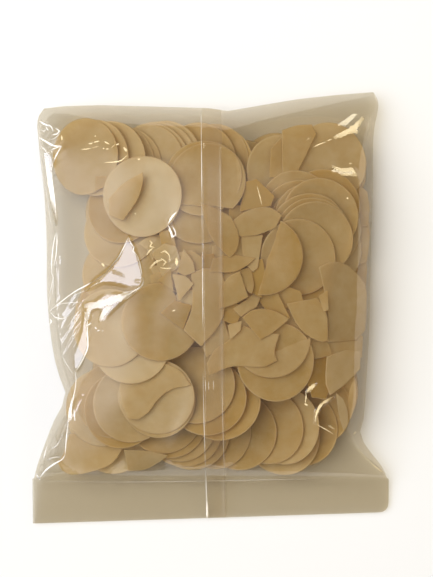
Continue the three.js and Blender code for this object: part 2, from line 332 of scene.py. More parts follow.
def crumple(pixels, depth, length, seed, along, stretch=2.5, soft=4.0):
    """Slack film inside an outline falls into sharp small folds."""
    reach = depth_inside(np.array([on_sheet(p) for p in pixels]))
    folds = np.abs(slack_waves(length, seed, along, stretch))
    folds += FINE_FOLD_DEPTH * np.abs(slack_waves(length * FINE_FOLD, seed + 1, along, stretch))
    sheet_z[:] += smooth_step(-soft, soft * EDGE_INSIDE, reach) * depth * (folds - 0.5)


def facet(pixels, lamp, ripple, hinge=None):
    """Pulls the film flat inside an outline and turns it to show a lamp. A hinge stays at its height."""
    reach = depth_inside(np.array([on_sheet(p) for p in pixels]))
    within = reach > 0
    middle = np.array([sheet_x[within].mean(), sheet_y[within].mean(), sheet_z[within].mean()])
    if hinge:
        meet = on_sheet(hinge)
        middle = np.array([*meet, height_near(meet)])
    slope = mirror_slope(middle, lamp)
    plane = middle[2] + slope[0] * (sheet_x - middle[0]) + slope[1] * (sheet_y - middle[1])
    plane += ripple * np.abs(slack_waves(FACET_RIPPLE_LENGTH, int(pixels[0][0])))
    sheet_z[:] += smooth_step(-FACET_EDGE, FACET_EDGE * EDGE_INSIDE, reach) * (plane - sheet_z)


LEFT_LAMP = lamp_place(azimuth=182, elevation=35, distance=1500.0)
RIGHT_LAMP = lamp_place(azimuth=58, elevation=32, distance=1500.0)
# Slack film along the left side and in the middle: how deep its folds are and how far apart, in millimetres,
# the angle along which they run, how far they are drawn out, and the pixels of the photo around it.
SLACK_PATCHES = (
    dict(depth=0.5, length=6.0, seed=3, along=60, pixels=(
        (36, 116), (50, 112), (63, 130), (63, 148), (56, 165), (54, 215), (46, 222), (40, 165))),
    dict(depth=0.3, length=6.0, seed=5, along=55, stretch=5.0, pixels=(
        (48, 306), (84, 300), (92, 318), (88, 345), (74, 372), (62, 350), (52, 325))),
    dict(depth=0.35, length=5.0, seed=17, along=90, stretch=8.0, pixels=(
        (44, 225), (58, 225), (58, 300), (46, 300))),
    dict(depth=0.5, length=7.0, seed=8, along=65, stretch=3.0, pixels=(
        (74, 375), (68, 425), (63, 458), (38, 478), (34, 474), (52, 425), (63, 395))),
    dict(depth=0.25, length=4.5, seed=11, along=30, stretch=1.5, soft=2.0, pixels=(
        (147, 238), (157, 238), (160, 252), (178, 252), (180, 268), (150, 270))),
    dict(depth=0.25, length=4.5, seed=13, along=110, stretch=2.0, soft=2.0, pixels=(
        (166, 222), (176, 210), (178, 238), (170, 240))),
)
# Taut patches that glint: the lamp that each one shows, its ripple in millimetres, and the pixels around it.
GLINTS = (
    dict(lamp=LEFT_LAMP, ripple=0.04, pixels=(
        (128.5, 237), (132, 243), (136, 252), (138.5, 259), (140.5, 266), (142, 273), (143, 280),
        (136, 281), (128, 277.5), (121, 274), (113, 271), (107, 270.5), (112, 265.5), (118, 258.5),
        (122, 251), (125, 245))),
    dict(lamp=LEFT_LAMP, ripple=0.05, hinge=(122, 271), pixels=(
        (106, 271.3), (113, 271.8), (121, 275), (129, 278.7), (136, 281.8), (143, 281), (140, 287),
        (128, 287), (115, 284), (104, 283), (95, 287), (86, 290), (96, 279))),
    dict(lamp=LEFT_LAMP, ripple=0.04, pixels=(
        (83, 305), (95, 301.5), (104, 294.5), (115, 293), (124, 294), (133, 291.5), (139, 288.5),
        (128, 296.5), (120, 304), (113, 311), (108, 316), (106, 320), (99.5, 322.5), (101, 314),
        (101, 309.5), (96, 309), (91.5, 312), (90, 319), (87, 324), (86.5, 316), (85, 309))),
    dict(lamp=LEFT_LAMP, ripple=0.08, pixels=(
        (84, 312), (87, 319), (87, 330), (87, 340), (88, 347), (85, 355), (81, 365), (77, 371),
        (74, 367), (74, 358), (76, 348), (79, 340), (82, 330), (83, 320))),
    dict(lamp=LEFT_LAMP, ripple=0.03, pixels=(
        (60.5, 313.5), (66, 309), (76, 306.5), (71, 313), (67, 317.5), (62, 316))),
    dict(lamp=LEFT_LAMP, ripple=0.05, pixels=(
        (43.5, 152), (49, 151), (53.5, 158), (52.8, 170), (53, 184), (54.5, 200), (56.3, 214),
        (56.5, 224), (54, 214), (51, 200), (48, 186), (45.2, 170))),
    dict(lamp=RIGHT_LAMP, ripple=0.01, pixels=(
        (364, 116), (360, 123), (357.5, 133.5), (354, 131.5), (345, 136), (333, 138.5), (341, 132),
        (350, 126), (356, 122))),
    dict(lamp=RIGHT_LAMP, ripple=0.1, pixels=(
        (331, 164), (334, 167), (338, 165.5), (343, 167), (349, 167), (353, 165.5), (356, 171),
        (358, 177.5), (354, 175.5), (348, 175), (340, 175), (332, 170))),
    dict(lamp=RIGHT_LAMP, ripple=0.02, pixels=(
        (316, 383), (313, 387), (309.5, 392), (306.5, 392.5), (307.5, 387.5), (312, 384.5))),
    dict(lamp=RIGHT_LAMP, ripple=0.02, pixels=(
        (334, 396.5), (327, 401), (321, 408), (317, 415), (315, 423), (315.5, 413), (317.5, 406.5),
        (324, 400.5))),
)
for patch in SLACK_PATCHES:
    crumple(**patch)
for patch in GLINTS:
    facet(**patch)
sheet_z = np.maximum(sheet_z, under_z)


def film_layers(name, tint, haze_share, roughness):
    """A new material, and its see-through and mirroring layers for mixing."""
    material, tree = new_material(name)
    clear = add_node(tree, "BsdfTransparent", inputs={"Color": linear(tint)})
    haze = add_node(tree, "BsdfDiffuse", inputs={"Color": linear(HAZE_COLOUR)})
    milky = add_node(tree, "MixShader", inputs={
        0: haze_share, 1: clear.outputs[0], 2: haze.outputs[0]})
    gloss = add_node(tree, "BsdfGlossy", inputs={"Color": (1, 1, 1, 1), "Roughness": roughness})
    return material, tree, milky, gloss


# Clear and faintly warm to look through, with sharp highlights that grow where the film turns away.
film, tree, milky, gloss = film_layers("cast polypropylene film", FILM_TINT, FILM_HAZE, FILM_ROUGHNESS)
facing = add_node(tree, "LayerWeight", inputs={"Blend": 0.5})
grazing = add_node(tree, "Math", {"operation": "POWER"}, {
    0: facing.outputs["Facing"], 1: EDGE_POWER})
mirror = add_node(tree, "Math", {"operation": "MULTIPLY_ADD"}, {
    0: grazing.outputs[0], 1: EDGE_MIRROR, 2: FILM_MIRROR})
coated = add_node(tree, "MixShader", inputs={
    0: mirror.outputs[0], 1: milky.outputs[0], 2: gloss.outputs[0]})
add_node(tree, "OutputMaterial", inputs={"Surface": coated.outputs[0]})

sheet_points = np.stack((sheet_x, sheet_y, sheet_z), axis=-1).reshape(-1, 3)
bag_top = mesh_piece("bag_film_upper", sheet_points, grid_faces(SHEET_ROWS, SHEET_COLUMNS), film)
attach(bag_top, "root")
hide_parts("papad_bag")

# Film creases
# Sharp small folds pressed into the slack film as the bag was filled and handled. White and warm strokes
# painted along them stand in for the film's glints.
CREASE_POINTS = 26
CREASE_LIFT = 0.1  # mm over the film
CREASE_RIDGE = 0.12  # mm, how far the middle stands above the sides
CREASE_SPAN = (0.04, 0.96)  # share of a half wave that a crease's width follows
CREASE_TIP = 0.3  # share of its width that is left at the ends
CREASE_UNEVEN = (0.7, 1.2)
PAINTED_GLINT = "#fffdfb"
PAINTED_GLINT_WARM = "#fbe9c0"
SHARP_TURN = 38.0  # degrees
crease_dice = np.random.default_rng(21)
crease_points, crease_faces, crease_glint_paint = [], [], []


def tree_of(piece):
    mesh = piece.data
    return BVHTree.FromPolygons([v.co[:] for v in mesh.vertices], [p.vertices[:] for p in mesh.polygons])


def curve(corner, count, closed):
    """Points along a curve through corners, which is broken where it turns sharply."""
    back, ahead = np.roll(corner, 1, axis=0), np.roll(corner, -1, axis=0)
    if not closed:
        back[0] = 2 * corner[0] - corner[1]
        ahead[-1] = 2 * corner[-1] - corner[-2]
    into, out = corner - back, ahead - corner
    turn = np.abs(np.angle((out[:, 0] + 1j * out[:, 1]) / (into[:, 0] + 1j * into[:, 1])))
    sharp = turn > math.radians(SHARP_TURN)
    tangent = (ahead - back) / 2.0
    share = np.linspace(0, 1, count, endpoint=False)[:, None]
    points = []
    for i in range(len(corner) if closed else len(corner) - 1):
        j = (i + 1) % len(corner)
        side = corner[j] - corner[i]
        leave = side if sharp[i] else tangent[i] * np.hypot(*side) / np.hypot(*tangent[i])
        arrive = side if sharp[j] else tangent[j] * np.hypot(*side) / np.hypot(*tangent[j])
        ease = 3 * share ** 2 - 2 * share ** 3
        bend = (share ** 3 - 2 * share ** 2 + share) * leave + (share ** 3 - share ** 2) * arrive
        points.append((1 - ease) * corner[i] + ease * corner[j] + bend)
    if not closed:
        points.append(corner[-1:])
    return np.vstack(points)


top_tree = tree_of(bag_top)


def film_height(place):
    height = drop(top_tree, place[0], place[1], True)
    return height_near(place) if math.isnan(height) else height


def crease(width, white, warm, *pixels):
    """A low ridge along a line of pixels, a width in millimetres wide and thinner at its ends."""
    corner = np.array([on_sheet(p) for p in pixels])
    line = curve(corner, max(2, CREASE_POINTS // len(corner)), False)
    along = np.gradient(line, axis=0)
    along /= np.hypot(along[:, 0], along[:, 1])[:, None]
    across = np.column_stack((-along[:, 1], along[:, 0]))
    ends = np.sin(math.pi * np.linspace(*CREASE_SPAN, len(line)))
    taper = CREASE_TIP + (1 - CREASE_TIP) * ends ** 0.7
    half = width / 2 * taper * crease_dice.uniform(*CREASE_UNEVEN, len(line))
    rows = np.empty((len(line), 3, 3))
    for column, (side, lift) in enumerate(((-1, 0.0), (0, CREASE_RIDGE), (1, 0.0))):
        rows[:, column, :2] = line + across * (side * half)[:, None]
        rows[:, column, 2] = [film_height(p) + CREASE_LIFT + lift for p in rows[:, column, :2]]
    start = sum(len(p) for p in crease_points)
    crease_points.append(rows.reshape(-1, 3))
    crease_faces.extend([[start + i for i in face] for face in grid_faces(len(line), 3)])
    crease_glint_paint.append(np.column_stack((np.repeat(white * ends ** 0.5, 3), np.full(len(line) * 3, warm))))


# Each crease carries a painted glint: cool white in the first table, warm in the second.
# Width in millimetres, whiteness, and the pixels of the photo that a crease runs through.
COOL_GLINT_CREASES = (
    (0.9, 0.9, ((39.5, 121), (44, 124), (50, 126.5))),
    (0.6, 0.8, ((48, 124), (51, 126.5), (53.5, 132))),
    (0.5, 0.7, ((45.5, 126), (48.5, 131))),
    (0.7, 0.9, ((55.5, 128), (59.5, 131), (57, 134), (52, 135))),
    (0.4, 0.5, ((39.5, 129), (44, 131.5), (47, 128))),
    (1.0, 0.95, ((39, 137.5), (45, 141), (50, 144), (55, 146), (61.5, 146))),
    (0.4, 0.6, ((49.5, 139.8), (54, 138.5), (58, 135.5), (60.5, 132))),
    (0.8, 0.95, ((61.5, 146), (58, 152), (55, 158), (53, 163), (51.5, 170))),
    (0.6, 0.8, ((61, 146.5), (56, 148), (51, 150))),
    (0.7, 0.7, ((41, 146), (45, 150), (48, 154))),
    (0.6, 0.7, ((50, 149), (52, 152.5), (47.5, 153))),
    (3.0, 0.8, ((45.8, 157), (48, 169), (50.2, 184), (53, 200), (55, 214))),
    (0.8, 0.9, ((51.5, 170), (52.5, 184), (54.5, 200), (56, 216), (56, 226))),
    (0.3, 0.4, ((39, 122), (40.5, 150), (44, 188), (47, 228))),
    (0.3, 0.4, ((43, 168), (47.5, 200), (51, 222), (55, 228))),
    (0.8, 0.85, ((55.5, 234), (53, 248), (51.5, 262), (51.8, 274))),
    (0.6, 0.8, ((56.8, 232), (57, 243), (56, 255), (54, 266))),
    (0.5, 0.7, ((51.8, 272), (53.5, 278), (52, 284), (49.5, 294))),
    (0.4, 0.6, ((54, 279), (53, 288), (52.5, 296))),
    (0.4, 0.5, ((50, 296), (48.5, 307))),
    (0.7, 0.95, ((128.5, 237), (125, 245), (121.5, 252), (117.5, 259), (111, 266.5), (106, 273))),
    (0.6, 0.9, ((106, 273), (99, 278), (88, 284.5), (75, 291.5), (62, 301), (50, 311))),
    (0.6, 0.85, ((128.5, 237), (131, 243.5), (134, 247), (133, 251), (137, 255))),
    (0.6, 0.9, ((137, 255), (139.5, 262), (141, 269), (142, 275))),
    (0.9, 0.95, ((143, 277), (143, 283), (139.5, 288), (133, 291.5), (128, 296))),
    (0.5, 0.5, ((104, 281), (95, 284.5), (84, 291), (70, 297))),
    (4.5, 0.6, ((84, 306), (97, 305), (110, 301), (122, 297), (137, 290))),
    (3.0, 0.6, ((100, 321), (104, 313), (112, 305))),
    (2.5, 0.5, ((86.5, 322), (87.5, 314), (90, 307))),
    (0.4, 0.5, ((83, 303), (72, 302.5), (60, 304.5), (50, 311))),
    (0.6, 0.7, ((50, 311.5), (55, 317), (63, 319), (70, 315))),
    (0.9, 0.8, ((49.5, 318.5), (51.5, 321.5), (49.5, 324.5))),
    (0.7, 0.5, ((81.5, 313), (75, 323), (69, 333.5))),
    (0.4, 0.5, ((81, 309), (74, 318), (66, 329))),
    (0.6, 0.6, ((77, 330), (71.5, 339))),
    (0.7, 0.9, ((84, 311), (87, 318), (87.2, 332), (88, 346), (85, 355), (80, 365), (76, 371))),
    (0.6, 0.8, ((86, 326), (89, 324.5), (91.5, 323))),
    (0.8, 0.8, ((95, 327), (96.5, 329))),
    (0.6, 0.6, ((97, 331), (100, 330))),
    (0.5, 0.6, ((102, 331), (103.5, 330.5))),
    (0.5, 0.85, ((75, 370), (76, 380), (75, 390), (73, 398), (72, 406))),
    (0.4, 0.45, ((60, 352), (66, 363), (73, 374))),
    (1.8, 0.8, ((72.5, 398), (70.5, 409), (68.5, 421))),
    (0.9, 0.8, ((71, 407), (71, 421))),
    (0.9, 0.8, ((74, 409), (75, 421))),
    (0.6, 0.9, ((68.5, 421), (67, 432), (66, 443), (65, 456))),
    (0.8, 0.95, ((65, 455), (62, 459.5), (54, 464), (46, 470), (41, 476), (38.5, 479.5))),
    (1.2, 0.8, ((36.5, 474), (40, 480))),
    (0.9, 0.35, ((61, 457), (54, 457.5), (47, 460))),
    (0.6, 0.7, ((47, 446), (45, 453), (43.5, 459))),
    (0.7, 0.3, ((63, 434), (57, 445), (51, 449))),
    (0.9, 1.0, ((177, 211.5), (172, 217), (168, 224))),
    (0.7, 0.95, ((168, 225), (170.5, 230), (173, 237), (176, 234))),
    (0.9, 0.9, ((168.5, 229), (171, 233), (172, 238.5))),
    (0.6, 0.8, ((172, 226), (175, 231), (176, 237))),
    (0.4, 0.65, ((201.4, 140), (201.6, 170), (201.8, 200))),
    (0.3, 0.45, ((201.8, 200), (202, 220), (202.2, 240))),
    (0.4, 0.65, ((202.2, 240), (202.6, 285), (203, 330))),
    (0.4, 0.35, ((201.2, 108), (201.4, 150))),
    (0.35, 0.5, ((203, 372), (204, 420), (205.5, 470))),
    (0.4, 0.65, ((205.5, 470), (206.2, 490), (206.8, 512))),
    (1.2, 0.9, ((207, 500), (207.2, 511), (207.3, 519))),
    (0.4, 0.3, ((219.8, 140), (220.5, 200), (221, 260))),
    (0.4, 0.3, ((222, 380), (223, 430), (225.3, 500))),
    (0.35, 0.3, ((34, 481), (120, 482), (200, 481), (300, 480), (388, 478))),
    (0.5, 0.4, ((205.5, 379), (205.7, 392))),
    (0.5, 0.4, ((208.5, 381), (208.7, 391))),
    (0.5, 0.4, ((213.5, 380), (213.6, 390))),
)
WARM_GLINT_CREASES = (
    (0.8, 0.7, ((149.5, 240.5), (152, 243), (150, 246.5), (155, 247.5))),
    (0.8, 0.7, ((153, 248), (149.5, 251), (146.5, 255.5))),
    (0.9, 0.6, ((160, 253), (165, 251), (169, 255), (170, 262))),
    (1.1, 0.6, ((149.5, 268.5), (156, 262), (164, 259))),
    (0.8, 0.6, ((161, 258), (166, 262), (163, 266))),
    (0.7, 0.6, ((160, 267.5), (166, 268.5), (172, 268))),
    (1.6, 0.85, ((176.5, 257.5), (176.8, 266))),
    (0.7, 0.7, ((88, 144), (93, 143))),
    (0.7, 0.75, ((93.5, 142.3), (99.5, 141))),
    (0.7, 0.5, ((94.5, 136.5), (96, 135.5))),
    (0.8, 0.75, ((104, 141.3), (109.5, 144.3))),
    (0.6, 0.65, ((80.5, 149.3), (86, 149.2), (92, 148))),
    (0.4, 0.5, ((92, 148), (99, 146))),
    (0.9, 0.65, ((102.8, 148), (104.2, 149))),
    (0.7, 0.6, ((105.5, 149.2), (109, 148.8))),
    (0.4, 0.5, ((111.5, 148), (115, 144.3))),
    (0.9, 0.8, ((116, 144.8), (119, 143.8))),
    (1.3, 0.7, ((123.5, 147), (127, 151.5))),
    (0.7, 0.85, ((104.5, 162.5), (114, 162), (120.6, 160.7), (127.7, 155))),
    (0.9, 0.8, ((137.5, 159.5), (140.5, 159))),
    (0.6, 0.7, ((135, 213), (136, 214.5))),
    (0.9, 0.7, ((61.5, 135), (62, 140.5))),
    (1.0, 0.85, ((101.5, 263), (104.5, 266.5))),
    (0.8, 0.65, ((172, 311.3), (175.5, 310))),
    (0.6, 0.55, ((257, 186), (259.5, 195), (262, 205))),
    (3.6, 0.7, ((334, 138), (346, 132.5), (355, 127), (363.5, 117))),
    (2.4, 0.6, ((348, 133.5), (355, 130.5), (358, 133))),
    (2.2, 0.6, ((332, 166), (342, 170), (352, 169), (357, 176.5))),
    (1.4, 0.6, ((340, 174.5), (348, 174.5), (356, 175.5))),
    (2.6, 0.8, ((315, 384), (311, 388), (307, 392.5))),
    (1.6, 0.8, ((331, 398), (322, 404), (317.5, 411), (315.5, 420))),
    (0.6, 0.9, ((313.5, 147), (320, 144), (326, 142))),
    (0.5, 0.9, ((327, 141), (332, 139))),
    (0.7, 0.7, ((349, 163.5), (352, 163.5))),
    (1.1, 0.9, ((346.8, 197.5), (348.2, 199))),
    (0.6, 0.9, ((305.8, 391), (306, 398), (305, 404))),
    (1.0, 0.9, ((304.3, 403.5), (307.8, 405.5))),
    (0.7, 0.95, ((334, 396.3), (326, 400.5), (320, 406.5), (316.5, 414), (315, 423))),
    (0.5, 0.85, ((316, 424), (325, 429), (333.5, 434))),
    (1.0, 0.3, ((328, 425), (335, 429.5))),
    (0.6, 0.6, ((353, 434.5), (356.5, 431.5))),
    (0.5, 0.25, ((354, 446), (363, 455), (370, 463))),
    (0.8, 0.4, ((369, 461), (375, 466.5), (387, 474.5))),
    (0.5, 0.3, ((369, 132), (370, 117))),
)
for warm, lines in ((0.0, COOL_GLINT_CREASES), (1.0, WARM_GLINT_CREASES)):
    for width, white, line in lines:
        crease(width, white, warm, *line)

# Painted glints: matte white strokes in place of the film's highlights, warm where they stand for the lamp
# on the right, and clear at their ends.
glint_paint, tree = new_material("painted film glints")
# The values stored as "stretch" are how strongly each painted glint shows and how warm it is.
stretch = add_node(tree, "Attribute", {"attribute_name": "stretch"})
parts = add_node(tree, "SeparateColor", inputs={0: stretch.outputs["Color"]})
shade = add_node(tree, "Mix", {"data_type": "RGBA"}, {
    "Factor": parts.outputs[1], 6: linear(PAINTED_GLINT), 7: linear(PAINTED_GLINT_WARM)})
clear = add_node(tree, "BsdfTransparent")
milky = add_node(tree, "BsdfDiffuse", inputs={"Color": shade.outputs[2]})
blend = add_node(tree, "MixShader", inputs={
    0: parts.outputs[0], 1: clear.outputs[0], 2: milky.outputs[0]})
add_node(tree, "OutputMaterial", inputs={"Surface": blend.outputs[0]})
creases = mesh_piece("film_creases", np.vstack(crease_points), crease_faces, glint_paint)


def paint_points(piece, name, columns):
    """Stores up to three values for each point of a piece, for its material to read."""
    spare = np.zeros((len(columns), 3 - columns.shape[1]))
    values = np.column_stack((columns, spare, np.ones(len(columns))))
    layer = piece.data.color_attributes.new(name, "FLOAT_COLOR", "POINT")
    layer.data.foreach_set("color", values.ravel())


paint_points(creases, "stretch", np.vstack(crease_glint_paint))
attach(creases, "root")
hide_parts("papad_bag")

# Film bag, lower sheet
# The front of the bag, of the same film, pressed flat by the table. It is one tube with the upper sheet,
# which it meets at the creased sides, and it is sealed to it at both ends.
LOWER_COLUMNS = 90
kept_columns = np.unique(np.linspace(0, SHEET_COLUMNS - 1, LOWER_COLUMNS).astype(int))
under_points = np.stack((sheet_x, sheet_y, under_z), axis=-1)[:, kept_columns].reshape(-1, 3)
under_faces = [face[::-1] for face in grid_faces(SHEET_ROWS, len(kept_columns))]
bag_under = mesh_piece("bag_film_lower", under_points, under_faces, film)
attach(bag_under, "root")
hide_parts("papad_bag")

# Lap seam
# The film's two long edges are lapped and welded along the back, in a band of double film with a
# raised edge on either side.
SEAM_TOP_PIXEL = (211.0, 108.0)
SEAM_LOW_PIXEL = (216.0, 519.0)
SEAM_PROFILE = ((-5.2, 0.15), (-4.55, 0.5), (-4.4, 0.4), (-2.0, 0.35), (0.0, 0.35), (2.5, 0.35), (4.8, 0.35),
                (5.1, 0.5), (5.25, 0.4), (5.5, 0.4), (5.75, 0.5), (5.9, 0.15))  # mm across, mm over the film
SEAM_TINT = "#faf6ee"
SEAM_HAZE = 0.03
SEAM_ROUGHNESS = 0.08
SEAM_MIRROR = 0.05
seam_top = on_sheet(SEAM_TOP_PIXEL)
seam_low = on_sheet(SEAM_LOW_PIXEL)
band = np.array(SEAM_PROFILE)
seam_points = []
for row in range(SHEET_ROWS):
    middle = np.interp(base_y[row], (seam_low[1], seam_top[1]), (seam_low[0], seam_top[0]))
    x = middle + band[:, 0]
    z = np.interp(x, sheet_x[row], sheet_z[row]) + band[:, 1]
    seam_points.append(np.column_stack((x, np.interp(x, sheet_x[row], sheet_y[row]), z)))
# A shade darker and hazier than single film, with a softer gloss.
weld, tree, milky, gloss = film_layers("welded double film", SEAM_TINT, SEAM_HAZE, SEAM_ROUGHNESS)
coated = add_node(tree, "MixShader", inputs={
    0: SEAM_MIRROR, 1: milky.outputs[0], 2: gloss.outputs[0]})
add_node(tree, "OutputMaterial", inputs={"Surface": coated.outputs[0]})
seam = mesh_piece("lap_seam", np.vstack(seam_points), grid_faces(SHEET_ROWS, len(band)), weld)
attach(seam, "root")
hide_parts("papad_bag")

# Whole papads
# Thin discs punched from a sheet of rice dough and dried in the sun. They lie loose in the bag, in fans
# that slid over one another as it was filled, pressed up against the film.
PAPAD_RADIUS = 21.7  # mm
PAPAD_THICKNESS = 0.5  # mm
SIZE_SPREAD = (0.98, 1.02)
OUT_OF_ROUND = (0.012, 0.008)  # share of the radius, in two and in three waves around the rim
RIM_POINTS = 56
BREAK_POINTS = 12
BREAK_WAVES = (2, 5, 11)
BREAK_WANDER = 0.012  # share of a break's length
BREAK_PHASE = (0, 6)  # radians
SHARD_POINTS = 60
SIDE_POINTS = 5
SHARD_GRAIN = 0.06  # mm
PAPAD_RINGS = (0.4, 0.75, 0.93, 0.985)  # shares of the outline
RIM_CURL = 0.6  # mm, a whole papad dries with its rim turned up
CURL_FROM = 0.78  # share of the radius
WARP = 0.5  # mm, two sides of a rim stand this far above the middle and two below
SAG = 2.0  # mm, how far papads bow with the ones around them
SAG_LENGTH = 52.0  # mm
SAG_WAVES = ((1.0, 0.4, 0.0), (-0.5, 1.3, 1.0))  # how far each runs across and along the bag, and its start
SAG_FREE_FROM = 2.0  # mm, a papad on the bottom lies flat
SAG_FULL_FROM = 20.0  # mm
FILM_GAP = 1.1  # mm
PILE_GAP = 0.4  # mm
PLAN_REACH = (103, 125)  # mm from the middle to the edges of the plan, which has cells of 1 mm
NO_ROOF = -1.0  # mm, outside the bag nothing fits
NO_GROUND = 99.0  # mm
RIM_MARGIN = 0.8  # mm kept free around a piece
FEWEST_CELLS = 12
STEEPEST = 1.0
EASED = (1.0, 0.8, 0.6, 0.4, 0.2, 0.0)  # a piece that has no room lies flatter, step by step
PLANE_ROUNDS = 60
CORNER_ANGLES = (1.6, 3.7, 5.8)  # radians, where the search for a plane starts
TOUCHING = 0.01  # mm
TINY = 1e-6
FILL_RIM_POINTS = 34
FILL_RINGS = (0.5, 0.965)
FILL_TRIES = 6000
FILL_SPOTS = 40
FILL_TONE = (0.4, 0.8)
FILL_COVER = 0.96  # share of a hidden papad that lies under others
RIGHT_COVER = 0.85  # the same along the right wall, where others leave gaps
RIGHT_FROM = 25.0  # mm
RIGHT_REACH = 50.0  # mm
PAPAD_DARK = "#d3b668"
PAPAD_LIGHT = "#f2e8cb"
# The next colour is a painted highlight along each papad's rim.
PAPAD_RIM_HIGHLIGHT = "#f2e3c2"
PAPAD_GLOW = "#f3dcae"
CLOUD_SIZE = 11.0  # mm
CLOUD_DETAIL = 5.0
CLOUD_ROUGHNESS = 0.65
MOTTLE = 0.9  # how strongly the clouds show
MOTTLE_SHIFT = -0.38
RIPPLE_SIZE = 6.0  # mm
RIPPLE_DEPTH = 0.4  # mm
RIPPLE_STRENGTH = 0.7
# The rim colour is a painted highlight: from this share of the outline on, a papad turns towards it.
RIM_HIGHLIGHT_FROM = 0.955  # share of the outline
RIM_HIGHLIGHT_SHARE = 0.75  # how far the rim's colour takes over
DOUGH_ROUGHNESS = 0.5
DOUGH_GLOSS = 0.3
GLOW_SHARE = 0.42  # light that comes through scattered
SHEER_SHARE = 0.25  # light that comes straight through a face
USUAL_TONE = (0.17, 0.46)  # 0 is the darkest dough, 1 the palest
dice = np.random.default_rng(7)

cell_x = np.arange(-PLAN_REACH[0], PLAN_REACH[0] + 1.0)
cell_y = np.arange(-PLAN_REACH[1], PLAN_REACH[1] + 1.0)
plan_x, plan_y = np.meshgrid(cell_x, cell_y)
under_tree = tree_of(bag_under)
roof = np.array([[drop(top_tree, x, y, True) for x in cell_x] for y in cell_y]) - FILM_GAP
ground = np.array([[drop(under_tree, x, y, False) for x in cell_x] for y in cell_y]) + PILE_GAP
outside = np.isnan(roof) | np.isnan(ground)
roof[outside] = NO_ROOF
ground[outside] = NO_GROUND
covered = np.zeros(plan_x.shape, bool)


def cells_under(outline):
    """Cells of the plan that a piece covers, as an index of rows and columns."""
    low = np.floor(outline.min(axis=0) - 1).astype(int)
    high = np.ceil(outline.max(axis=0) + 1).astype(int)
    first = np.maximum(0, low + PLAN_REACH)
    last = np.maximum(0, high + PLAN_REACH + 1)
    columns, rows = (slice(first[i], last[i]) for i in (0, 1))
    found = inside(outline, plan_x[rows, columns], plan_y[rows, columns])
    row, column = np.nonzero(found)
    return row + rows.start, column + columns.start


def highest_plane(x, y, z):
    """Slopes and height of the plane that lies under every point and is highest over the origin."""
    corner = [int(np.argmax(x * math.cos(t) + y * math.sin(t))) for t in CORNER_ANGLES]
    plane = np.array([0.0, 0.0, z.min()])
    for _ in range(PLANE_ROUNDS):
        system = np.column_stack((x[corner], y[corner], np.ones(3)))
        if abs(np.linalg.det(system)) < TINY:
            break
        plane = np.linalg.solve(system, z[corner])
        below = z - plane[0] * x - plane[1] * y - plane[2]
        worst = int(np.argmin(below))
        if below[worst] > -TOUCHING:
            break
        best, best_weight = None, -math.inf
        for i in range(3):
            trial = list(corner)
            trial[i] = worst
            system = np.vstack((x[trial], y[trial], np.ones(3)))
            if abs(np.linalg.det(system)) > TINY:
                weight = np.linalg.solve(system, (0.0, 0.0, 1.0)).min()
                if weight > best_weight:
                    best, best_weight = trial, weight
        if best is None:
            break
        corner = best
    return plane


def leaning(outline, slope):
    """Plan view of a flat outline once its plane slopes."""
    steep = math.hypot(*slope)
    if steep < TINY:
        return outline
    along = np.array(slope) / steep
    squeeze = 1.0 - 1.0 / math.sqrt(1.0 + steep * steep)
    return outline - squeeze * np.outer(outline @ along, along)


pieces_laid = []


def cells_around(outline, centre):
    """Cells under a piece and the margin around it."""
    return cells_under(outline * (1.0 + RIM_MARGIN / np.abs(outline).max()) + centre)


def lay(outline, centre, slope=None, plan=False, fill=False):
    """Lifts a flat piece up to the film or the pieces above it. A plan is an outline seen from above."""
    rows, columns = cells_around(outline, centre)
    if len(rows) < FEWEST_CELLS:
        return False
    if slope is None:
        x, y = plan_x[rows, columns] - centre[0], plan_y[rows, columns] - centre[1]
        slope = np.clip(highest_plane(x, y, roof[rows, columns])[:2], -STEEPEST, STEEPEST)
    for share in EASED:
        eased = np.multiply(slope, share)
        seen = outline if plan else leaning(outline, eased)
        rows, columns = cells_around(seen, centre)
        x, y = plan_x[rows, columns] - centre[0], plan_y[rows, columns] - centre[1]
        rise = eased[0] * x + eased[1] * y
        height = (roof[rows, columns] - rise).min()
        lowest = height + rise - PAPAD_THICKNESS
        clear_of_ground = (lowest > ground[rows, columns]).all()
        if clear_of_ground or fill:
            break
    if not clear_of_ground:
        return False
    by_right_wall = centre[0] > RIGHT_FROM and abs(centre[1]) < RIGHT_REACH
    if fill and covered[rows, columns].mean() < (RIGHT_COVER if by_right_wall else FILL_COVER):
        return False
    roof[rows, columns] = np.minimum(roof[rows, columns], lowest - PILE_GAP)
    covered[rows, columns] = True
    pieces_laid.append({"outline": seen, "centre": np.array(centre), "slope": eased, "height": height,
                        "fill": fill})
    return True


def disc(radius, count):
    """Outline of a papad: a circle that dried a little out of round."""
    angle = np.linspace(0, 2 * math.pi, count, endpoint=False)
    turn = dice.uniform(0, 2 * math.pi, 2)
    two, three = np.cos(2 * angle + turn[0]), np.cos(3 * angle + turn[1])
    size = radius * (1 + OUT_OF_ROUND[0] * two + OUT_OF_ROUND[1] * three)
    return np.column_stack((size * np.cos(angle), size * np.sin(angle)))


def tone_and_shade_or_usual(tone_and_shade):
    return dice.uniform(*USUAL_TONE) if tone_and_shade is None else tone_and_shade


def whole(pixel, lean=None, toward=0.0, radius=None, tone_and_shade=None):
    """A papad centred where a pixel looks. A lean in degrees raises its rim towards an angle."""
    slope = None
    if lean is not None:
        rise = math.tan(math.radians(lean))
        slope = (rise * math.cos(math.radians(toward)), rise * math.sin(math.radians(toward)))
    size = radius or PAPAD_RADIUS * dice.uniform(*SIZE_SPREAD)
    return {"kind": "whole", "outline": disc(size, RIM_POINTS), "centre": on_sheet(pixel), "slope": slope,
            "tone_and_shade": tone_and_shade_or_usual(tone_and_shade)}


